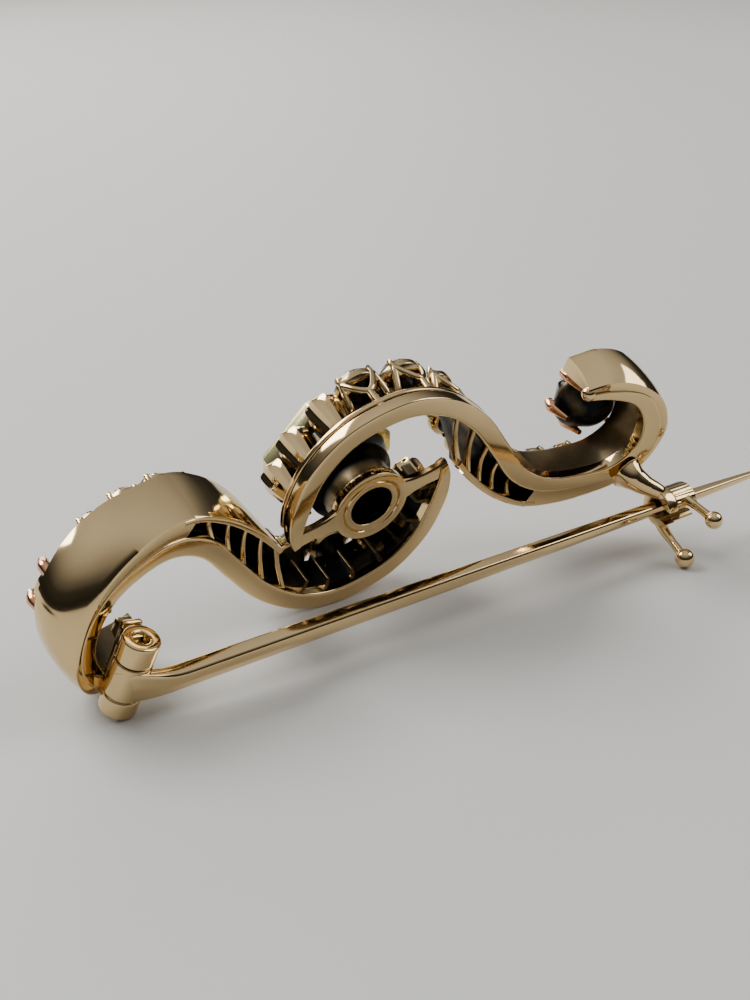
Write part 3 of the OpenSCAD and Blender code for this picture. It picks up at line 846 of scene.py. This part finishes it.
def bezel():
    """Rectangular bezel with cut corners: a wall that leans in over the stone's edge, with a
    ledge behind it. Each ring is the stone's outline, grown by so much, at a depth."""
    return closed_ring([octagon_ring(EMERALD_L + grown, EMERALD_W + grown, z) for grown, z in
                        ((1.4, -5.5), (1.5, -5.6), (1.48, -6.5), (1.2, -6.84), (0.7, -6.96),
                         (0.12, -6.93), (0.1, -6.18), (-0.5, -6.14), (-0.5, -5.5))])


def basket():
    """Tapering basket from the boss's collar out to the bezel: rings that change evenly from
    a circle to an octagon, down its outside and back up its inside."""
    count = len(octagon_ring(1, 1, 0))
    a = np.linspace(0, 2 * math.pi, count, endpoint=False) + 0.35
    start = 3.05

    def blend(f, shrink):
        """Ring at the share f of the way down."""
        z = -3.12 - 2.4 * f
        circle = at_height(np.stack([start * np.cos(a), start * np.sin(a)], 1), z)
        octagon = octagon_ring(EMERALD_L + 0.45, EMERALD_W + 0.45, z)
        ring = circle * (1 - f ** 0.8) + octagon * f ** 0.8
        ring[:, :2] *= shrink
        return ring

    down = np.linspace(0, 1, 12)
    return closed_ring([blend(f, 1.0) for f in down] + [blend(f, 0.9) for f in down[::-1]])


def emerald_cup():
    """Closed cup behind the emerald: octagons that narrow from the bezel's inner step to a
    small floor, first the inside and then the outside."""
    l, w = EMERALD_L, EMERALD_W
    inside = [(0.12 * l, 0.1 * w, -4.55), (0.5 * l, 0.3 * w, -4.62), (l - 0.9, w - 0.9, -5.6)]
    outside = [(l - 0.7, w - 0.7, -5.58), (0.56 * l, 0.4 * w, -4.44), (0.14 * l, 0.12 * w, -4.4)]
    return closed_sweep([octagon_ring(*r) for r in inside + outside])


def build_centre():
    """Cups, boss, struts and the emerald's setting."""
    both("cups", cups, ROSE, "rose_gold", tarnish=cup_tarnish)
    # Painted shade: on the ring towards its hole, and on the tube, half at the back and full
    # deeper in
    piece("boss_ring", boss_ring(), ROSE, "rose_gold",
          tarnish=lambda p: np.clip((1.62 - np.hypot(p[:, 0], p[:, 1])) * 4, 0, 0.6))
    piece("boss_tube", boss_tube(), ROSE, "rose_gold",
          tarnish=lambda p: np.clip(0.5 + (-p[:, 2] - 0.7) * 1.2, 0, 1))
    both("strut", strut, ROSE, "rose_gold")
    # Painted shade: the basket fully dark, the cup behind the emerald dark on its outside
    piece("emerald_basket", basket(), ROSE, "rose_gold", on=on_emerald, tarnish=even(1.0))
    piece("emerald_cup", emerald_cup(), ROSE, "rose_gold", on=on_emerald,
          tarnish=lambda p: np.repeat([0.0, 0.8], len(p) // 2))
    setting = piece("emerald_bezel", bezel(), YELLOW, "yellow_gold", on=on_emerald)
    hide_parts("emerald_setting")


# Cut stones

def brilliant(d, at, turn=0.0):
    """Round old-cut stone: table, eight stars, eight kites and sixteen girdle facets on the
    crown; eight kites, sixteen lower facets and a small culet on the pavilion."""
    r = d / 2 - STONE_GAP
    sixteenth = math.pi / 8

    def ring(count, radius, z, offset):
        """Points evenly round a circle at height z, the first at an offset angle."""
        a = turn + offset + 2 * math.pi / count * np.arange(count)
        return np.stack([radius * np.cos(a), radius * np.sin(a), np.full(count, z)], 1)

    table = ring(8, 0.5 * r, -0.27 * d, 0)
    star = ring(8, 0.77 * r, -0.17 * d, sixteenth)
    girdle = ring(16, r, -0.03 * d, 0)
    lower = ring(16, r, 0.0, 0)
    deep = ring(8, 0.52 * r, 0.19 * d, sixteenth)
    culet = ring(8, 0.09 * r, 0.34 * d, 0)
    points = np.concatenate([table, star, girdle, lower, deep, culet])
    t, s, g, l, p, c = 0, 8, 16, 32, 48, 56
    k = np.arange(8)
    n = (k + 1) % 8
    faces = [list(range(7, -1, -1))]
    faces += np.stack([t + k, t + n, s + k], 1).tolist()
    faces += np.stack([s + k, t + n, s + n, g + 2 * n], 1).tolist()
    faces += np.stack([g + 2 * k, s + k, g + 2 * k + 1], 1).tolist()
    faces += np.stack([g + 2 * k + 1, s + k, g + 2 * n], 1).tolist()
    j = np.arange(16)
    m = (j + 1) % 16
    faces += np.stack([g + j, g + m, l + m, l + j], 1).tolist()
    faces += np.stack([l + 2 * k, l + 2 * k + 1, p + k], 1).tolist()
    faces += np.stack([l + 2 * k + 1, l + 2 * n, p + k], 1).tolist()
    faces += np.stack([p + k, l + 2 * n, p + n, c + n], 1).tolist()
    faces += np.stack([c + k, p + k, c + n], 1).tolist()
    faces.append(list(range(c, c + 8)))
    return outward(points + np.asarray(at), faces)


def step_cut():
    """Step-cut stone: octagons that shrink in steps to the table and to a long culet. Each
    step gives the share of the length, the share of the width and the height."""
    l, w, g = EMERALD_L, EMERALD_W, EMERALD_GIRDLE_Z
    steps = [(0.62, 0.58, -0.85), (0.72, 0.68, -0.76), (0.84, 0.8, -0.58), (0.93, 0.91, -0.36),
             (1, 1, -0.12), (1, 1, 0.12), (0.9, 0.86, 0.5), (0.78, 0.7, 0.9),
             (0.62, 0.48, 1.35), (0.44, 0.2, 1.75), (0.4, 0.08, 1.9)]
    rings = [octagon_ring(l * a, w * b, g + z, 1, 0.001)[::2] for a, b, z in steps]
    return closed_sweep(rings)


def build_stones():
    """Nine diamonds in each band, one at each scroll's end, and the emerald."""
    for band, degrees in (("upper", 0), ("lower", 180)):
        for i in range(DIAMOND_COUNT):
            at = stone_place(i) + [0, 0, DIAMOND_GIRDLE_Z]
            cut = brilliant(stone_d(i), at, DIAMOND_TURN * i)
            name = f"{band}_diamond_{i + 1}"
            stone = piece(name + "_cut", turned(cut, degrees), DIAMOND, "diamond", crease=0)
            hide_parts(name)
    cut = brilliant(END_STONE_D, END_AT + [0, 0, END_GIRDLE_Z])
    for side, degrees in (("right", 0), ("left", 180)):
        stone = piece(f"end_diamond_{side}_cut", turned(cut, degrees), DIAMOND, "diamond",
                      crease=0)
        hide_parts("end_diamond_" + side)
    stone = piece("emerald_cut", step_cut(), EMERALD, "emerald", crease=0, on=on_emerald)
    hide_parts("emerald")


# Rings on a collet's outside, and points in each ring
COLLET_RINGS, COLLET_SIDES = 21, 96


def end_collet():
    """Closed collet of the round stone at a scroll's end: a cup that opens from a narrow foot,
    given by its outside and then its inside."""
    r = END_STONE_D / 2
    outside = curve(np.array([[POLE_R, -3.0], [0.9, -3.05], [1.6, -3.5], [2.1, -4.2],
                              [r + 0.24, -4.9], [r + 0.28, -5.4]]),
                    np.linspace(0, 5, COLLET_RINGS))
    inside = [[r - 0.03, -5.4], [1.6, -4.6], [0.7, -3.6], [POLE_R, -3.5]]
    return lathe(np.concatenate([outside, inside]), COLLET_SIDES, END_AT)


def collet_tarnish(p):
    """Painted shade on a collet's outside near its foot."""
    outside = np.arange(len(p)) < COLLET_RINGS * COLLET_SIDES
    return outside * np.clip((p[:, 2] - bow(p[:, 0]) + 5.1) / 0.7, 0, 1)


def end_claws():
    """Six rounded claws over the end stone's girdle, from beside the collet to their tips."""
    r = END_STONE_D / 2
    top, tip = -3.9, -6.32
    z = np.linspace(top, tip, 14)
    reach = np.interp(z, [tip, -6.1, -5.6, top], [r - 0.02, r + 0.18, r + 0.36, r + 0.12])
    width = np.interp(z, [tip, -6.15, -5.5, top], [0.14, 0.36, 0.42, 0.2])
    turns = [math.radians(60 * k + 12) for k in range(6)]
    return joined([tube(cone_point(END_AT, reach, np.full(14, a), z), width, 14)
                   for a in turns])


def build_ends():
    """Collet and claws of the stone at each scroll's end."""
    both("end_collet", end_collet, ROSE, "rose_gold", tarnish=collet_tarnish)
    both("end_claws", end_claws, PRONG, "rose_gold")


# Hinge, pin and catch

HINGE_AT, BARREL_LEAN = np.array([-19.04, -3.19, 4.0]), 16.2
BARREL_R, RIVET_R = 1.2, 0.45
KNUCKLE_TOP, KNUCKLE_LOW, PIN_KNUCKLE_HALF, KNUCKLE_GAP = 3.0, 2.7, 1.28, 0.06
KNUCKLE_INNER = PIN_KNUCKLE_HALF + KNUCKLE_GAP
PIN_Y, PIN_Z = -3.4, 5.3
POST_X, CATCH_X, MOUTH_HALF = 20.3, 22.35, 0.56
COLLAR_MILLS, MILL_DEPTH = 26, 0.07
COLLAR_R, COLLAR_L, COLLAR_BORE = 1.32, 1.9, 1.08
TUBE_R, TUBE_BORE, CATCH_WALL_L = 1.02, 0.72, 0.9
LOWER_BALL_AT, UPPER_BALL_AT, BALL_R = (21.4, -4.95, 9.2), (23.4, -2.2, 8.95), 0.7


def on_hinge(points):
    """From the hinge's own axes, with the rivet along y, to the brooch's frame."""
    return points @ turn_z(-BARREL_LEAN).T + HINGE_AT


def barrel(y0, y1, bore, lip):
    """Knuckle of the hinge: a ring section with rounded lips, turned round the hinge's y axis."""
    return along_y(lathe_ring(rounded(box(bore, y0, BARREL_R, y1), lip, 5), 72))


def slab(outline, low, high, soft=0.1):
    """Plate of an outline in x and y between two heights, its upper and lower edges softened
    by rings that shrink towards the middle."""
    middle = outline.mean(0)
    away = outline - middle
    length = np.linalg.norm(away, axis=1, keepdims=True)

    def ring(z, inset):
        """The outline at height z, drawn in by inset."""
        return at_height(middle + away * (1 - inset / length), z)

    return closed_sweep([ring(low, soft), ring(low + 0.3 * soft, 0.3 * soft),
                         ring(low + soft, 0), ring(high - soft, 0),
                         ring(high - 0.3 * soft, 0.3 * soft), ring(high, soft)])


def hinge_leaf():
    """Base of the hinge: a plate on the scroll, the block and neck under the upper knuckle,
    and the foot of the lower knuckle."""
    plate = slab(rounded(box(-0.62, -KNUCKLE_INNER - 0.25, 0.7, KNUCKLE_TOP + 0.05), 0.25),
                 -1.6, -1.28)
    block = slab(rounded(box(-0.7, KNUCKLE_INNER, 0.7, KNUCKLE_TOP - 0.22), 0.16),
                 -1.36, -0.3, 0.12)
    neck = slab(rounded(box(-0.55, KNUCKLE_INNER, 0.55, KNUCKLE_INNER + 1.2), 0.2), -2.43, -1.4)
    foot = slab(rounded(box(-0.78, -KNUCKLE_LOW + 0.2, 0.78, -KNUCKLE_INNER), 0.2),
                -2.0, -0.2, 0.12)
    return joined([plate, block, neck, foot])


def hinge_base():
    """The two outer knuckles with their base."""
    bore = RIVET_R + 0.03
    return joined([barrel(KNUCKLE_INNER, KNUCKLE_TOP, bore, 0.2),
                   barrel(-KNUCKLE_LOW, -KNUCKLE_INNER, bore, 0.22), hinge_leaf()])


def hinge_tarnish(p):
    """Painted shade in the angle between the hinge and the scroll, and in the gaps at the
    knuckles' joints.
    """
    away = p - HINGE_AT
    depth = np.clip((-away[:, 2] - 0.9) / 0.8, 0, 1)
    along = away @ (turn_z(-BARREL_LEAN) @ [0, 1, 0])
    joint = np.exp(-((np.abs(along) - PIN_KNUCKLE_HALF) / 0.12) ** 2)
    return np.clip(0.55 * depth + 0.6 * joint, 0, 1)


def rivet():
    """Rivet: a bar with domed ends, set back in the barrel."""
    return along_y(lathe([[POLE_R, -2.25], [0.26, -2.23], [0.39, -2.17], [0.44, -2.08],
                          [0.44, 2.28], [0.39, 2.37], [0.26, 2.43], [POLE_R, 2.45]], 40))


# Stations of the pin: x from the hinge, middle y, middle z, half width and half thickness
PIN_STATIONS = np.array([
    [-0.95, 0.22, -0.95, 0.9, 0.08], [-0.62, 0.2, -0.6, 1.1, 0.2], [0.0, 0.16, -0.3, 1.16, 0.3],
    [0.9, 0.06, -0.14, 1.04, 0.4], [1.9, -0.02, -0.05, 0.86, 0.5], [3.0, 0, 0, 0.72, 0.57],
    [6.0, 0, 0, 0.69, 0.57], [20.0, 0, 0, 0.6, 0.5], [41.39, 0, 0, 0.42, 0.4],
    [48.5, 0, 0, 0.3, 0.25], [52.4, 0, 0, 0.13, 0.1], [53.45, 0, 0, 0.03, 0.03]])


def pin_bar():
    """Pin: a bar whose back is a shallow roof with a ridge, so that it shows two long faces
    and a narrow one. Width and thickness follow curves through PIN_STATIONS."""
    t = np.linspace(0, len(PIN_STATIONS) - 1, 150)
    x, y, z, w, h = curve(PIN_STATIONS, t).T
    shape = rounded([[-0.86, -1], [0.86, -1], [1, -0.8], [1, 0.5], [0.8, 0.78], [0.06, 1],
                     [-0.86, 0.72], [-1, 0.5], [-1, -0.8]],
                    [0.1, 0.1, 0.1, 0.1, 0.12, 0.14, 0.12, 0.1, 0.1], 3)
    ring = np.stack([np.broadcast_to((HINGE_AT[0] + x)[:, None], (len(t), len(shape))),
                     (PIN_Y + y)[:, None] + w[:, None] * shape[:, 0],
                     (PIN_Z + z)[:, None] + h[:, None] * shape[:, 1]], -1)
    return closed_sweep(ring)


def pin_tarnish(p):
    """Painted shade under the pin's root, where it leaves the knuckle."""
    near = np.exp(-((p[:, 0] - HINGE_AT[0] - 1.5) / 1.1) ** 2)
    under = np.clip((HINGE_AT[2] + 1.1 - p[:, 2]) / 0.5, 0, 1)
    return np.clip(near * under, 0, 1)


def split_ring(x0, x1, bore, radius, lip, mills=0, mill_depth=0.0, steps=200):
    """Ring round the pin's line with a straight mouth on its back: a rounded section carried
    from one side of the mouth round to the other. The outside may be milled by a cosine, which
    fades out towards the bore and towards both ends."""
    r, x = rounded(box(bore, x0, radius, x1), lip, 5).T
    start = np.arcsin(MOUTH_HALF / r)
    a = start + (2 * math.pi - 2 * start) * np.linspace(0, 1, steps)[:, None]
    outer = np.clip((r - bore) / (radius - bore), 0, 1) ** 3
    inside = np.clip(np.minimum(x - x0, x1 - x) / 0.3, 0, 1)
    milled = r * (1 - mill_depth * outer * inside * (0.5 - 0.5 * np.cos(mills * a)))
    return closed_sweep(np.stack([np.broadcast_to(x, a.shape), PIN_Y + milled * np.sin(a),
                                  PIN_Z + milled * np.cos(a)], -1))


def lever(path, radii, ball_at, ball_r):
    """Lever of the catch: a waisted rod that ends in a ball."""
    line = smooth_path(path, 8)
    t = np.linspace(0, len(radii) - 1, len(line))
    return joined([tube(line, np.interp(t, np.arange(len(radii)), radii), 20),
                   ball(ball_at, ball_r)])


def catch_base():
    """Catch: its split wall and tube, the flared post from the scroll and the lower lever."""
    wall = split_ring(CATCH_X - CATCH_WALL_L, CATCH_X, TUBE_BORE, COLLAR_R + 0.1, 0.14)
    pipe = split_ring(CATCH_X - 0.2, CATCH_X + COLLAR_L + 0.1, TUBE_BORE, TUBE_R, 0.07)
    post = smooth_path([[POST_X, -1.6, float(bow(POST_X)) + 0.08], [20.38, -1.66, 3.3],
                        [20.9, -1.95, 4.0], [21.5, -2.2, 4.55], [CATCH_X - 0.45, -2.4, 4.9]], 8)
    flare = np.interp(np.linspace(0, 4, len(post)), [0, 0.6, 1.3, 2.5, 4],
                      [1.35, 1.15, 0.9, 0.68, 0.56])
    arm = lever([[CATCH_X - 0.4, -4.3, 5.2], [CATCH_X - 0.55, -4.75, 6.3],
                 [CATCH_X - 0.75, -4.85, 7.6], LOWER_BALL_AT], [0.5, 0.4, 0.3, 0.34],
                LOWER_BALL_AT, BALL_R)
    return joined([wall, pipe, tube(post, flare, 28), arm])


def catch_turner():
    """Turning collar: a milled split ring with its lever and ball."""
    ring = split_ring(CATCH_X + 0.06, CATCH_X + COLLAR_L, COLLAR_BORE, COLLAR_R, 0.09,
                      COLLAR_MILLS, MILL_DEPTH, 420)
    arm = lever([[CATCH_X + 0.95, -2.42, 6.2], [CATCH_X + 1.0, -2.35, 7.0],
                 [CATCH_X + 1.03, -2.26, 8.0], UPPER_BALL_AT], [0.36, 0.3, 0.3, 0.34],
                UPPER_BALL_AT, BALL_R - 0.06)
    return joined([ring, arm])


def ring_tarnish(p):
    """Painted shade inside the catch's bore."""
    r = np.hypot(p[:, 1] - PIN_Y, p[:, 2] - PIN_Z)
    return np.clip((1.12 - r) / 0.3, 0, 1) * (p[:, 2] < 6.6) * 0.8


def build_fittings():
    """Hinge, rivet, pin, catch and its turning collar."""
    base = piece("hinge_base", hinge_base(), ROSE, "rose_gold", on=on_hinge,
                 tarnish=hinge_tarnish)
    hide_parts("hinge_knuckles")
    pivot = piece("hinge_pivot", rivet(), YELLOW, "rose_gold", on=on_hinge)
    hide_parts("hinge_rivet")
    bar = piece("pin_bar", pin_bar(), ROSE, "rose_gold", body=PIN_BODY, tarnish=pin_tarnish)
    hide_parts("pin_stem")
    piece("pin_knuckle", barrel(-PIN_KNUCKLE_HALF, PIN_KNUCKLE_HALF, RIVET_R + 0.02, 0.1), ROSE,
          "rose_gold", body=PIN_BODY, on=on_hinge, tarnish=hinge_tarnish)
    hook = piece("catch_base", catch_base(), ROSE, "rose_gold", tarnish=ring_tarnish)
    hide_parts("catch_hook")
    turner = piece("catch_turner", catch_turner(), ROSE, "rose_gold", body=COLLAR_BODY,
                   tarnish=ring_tarnish)
    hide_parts("catch_collar")


# Floor, light and camera

def floor():
    """Plain pale floor: one wide square with a fine grain in its surface."""
    size = 3.0
    mesh = bpy.data.meshes.new("floor")
    mesh.from_pydata([(x, y, 0) for x, y in box(-size, -size, size, size)], [], [(0, 1, 2, 3)])
    material, tree, shader = nodes_of("floor_pale")
    bump = add(tree, "ShaderNodeBump", Strength=0.25, Distance=0.00005,
               Height=noise(tree, Scale=900.0, Detail=6.0))
    dress(tree, shader, {"Base Color": (0.56, 0.55, 0.52, 1), "Roughness": 0.6,
                         "Normal": bump.outputs["Normal"]})
    mesh.materials.append(material)
    obj = bpy.data.objects.new("floor", mesh)
    bpy.context.scene.collection.objects.link(obj)


def set_down(name, data, right, up, back, place):
    """Light or camera at a place, given by the directions of its own x, y and z."""
    obj = bpy.data.objects.new(name, data)
    matrix = np.eye(4)
    matrix[:3] = np.column_stack([right, up, back, place])
    obj.matrix_world = Matrix(matrix.tolist())
    bpy.context.scene.collection.objects.link(obj)
    return obj


# What the lights face, in row-frame metres
MIDDLE = np.array([0, 0, 0.01])


def soft_box(name, at, width, height, power, colour=(1, 1, 1)):
    """Rectangular area light at a point in row-frame metres, facing MIDDLE."""
    data = bpy.data.lights.new(name, "AREA")
    data.shape = "RECTANGLE"
    data.size, data.size_y = width, height
    data.energy = power
    data.color = colour
    aim = MIDDLE - np.array(at, float)
    z = -aim / np.linalg.norm(aim)
    x = np.cross([0, 0, 1.0], z)
    x /= np.linalg.norm(x)
    set_down(name, data, x, np.cross(z, x), z, at)


# Steps of the studio's light: height, from 0 at the horizon to 1 straight up, and brightness
SKY_STEPS = ((0.12, 0.05), (0.34, 0.10), (0.50, 0.36), (0.75, 0.98))
SKY_STRENGTH, BACKDROP = 0.42, 0.62


def sky():
    """Studio surroundings: bright above and dark towards the horizon, so that metal shows
    contrast. Behind the brooch the camera sees an even pale backdrop instead."""
    world = bpy.data.worlds.new("studio")
    bpy.context.scene.world = world
    world.use_nodes = True
    tree = world.node_tree
    place = add(tree, "ShaderNodeTexCoord")
    height = add(tree, "ShaderNodeSeparateXYZ", Vector=place.outputs["Generated"])
    band = add(tree, "ShaderNodeValToRGB", Fac=height.outputs["Z"])
    stops = band.color_ramp
    stops.elements[0].position, stops.elements[0].color = 0.0, (0.10, 0.10, 0.11, 1)
    stops.elements[1].position, stops.elements[1].color = 1.0, (1.7, 1.72, 1.75, 1)
    for at, level in SKY_STEPS:
        stop = stops.elements.new(at)
        stop.color = (level, level, level * 1.04, 1)
    path = add(tree, "ShaderNodeLightPath")
    seen = mixed(tree, path.outputs["Is Camera Ray"], band.outputs["Color"],
                 (BACKDROP, BACKDROP, BACKDROP, 1))
    dress(tree, tree.nodes["Background"], {"Color": seen, "Strength": SKY_STRENGTH})


# The photograph's viewpoint in the brooch's frame: the camera's right, down and forward
# directions, and the brooch's origin along them in millimetres. FOCAL is in pixels of a picture
# 1000 pixels tall
CAMERA_RIGHT = (0.849, 0.120, 0.514)
CAMERA_DOWN = (-0.264, -0.745, 0.612)
CAMERA_FORWARD = (0.457, -0.656, -0.601)
CAMERA_TO_CENTRE = (-0.13, 0.51, 89.19)
FOCAL, PICTURE_H = 1350.0, 1000.0


def camera():
    """Camera at the photograph's viewpoint. Its directions are squared up first: the nearest
    turn to their rounded values is u v of their singular value decomposition."""
    u, _, v = np.linalg.svd(np.array([CAMERA_RIGHT, CAMERA_DOWN, CAMERA_FORWARD]))
    axes = u @ v
    place = to_row(-(axes.T @ np.array(CAMERA_TO_CENTRE)))
    right, down, forward = axes @ LAY.T
    data = bpy.data.cameras.new("camera")
    data.sensor_width = 36.0
    data.lens = FOCAL / PICTURE_H * data.sensor_width
    data.clip_start, data.clip_end = 0.002, 20.0
    bpy.context.scene.camera = set_down("camera", data, right, -down, -forward, place)


rails = build_bands()
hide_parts("frame")
build_seats()
build_centre()
build_stones()
build_ends()
build_fittings()
floor()
sky()
soft_box("window", (-0.25, 0.45, 0.55), 0.5, 0.35, 6.5)
soft_box("fill", (0.5, -0.2, 0.45), 0.4, 0.4, 2.0)
soft_box("far", (0.05, 0.8, 0.34), 0.9, 0.3, 3.2, (1.0, 0.97, 0.92))
camera()
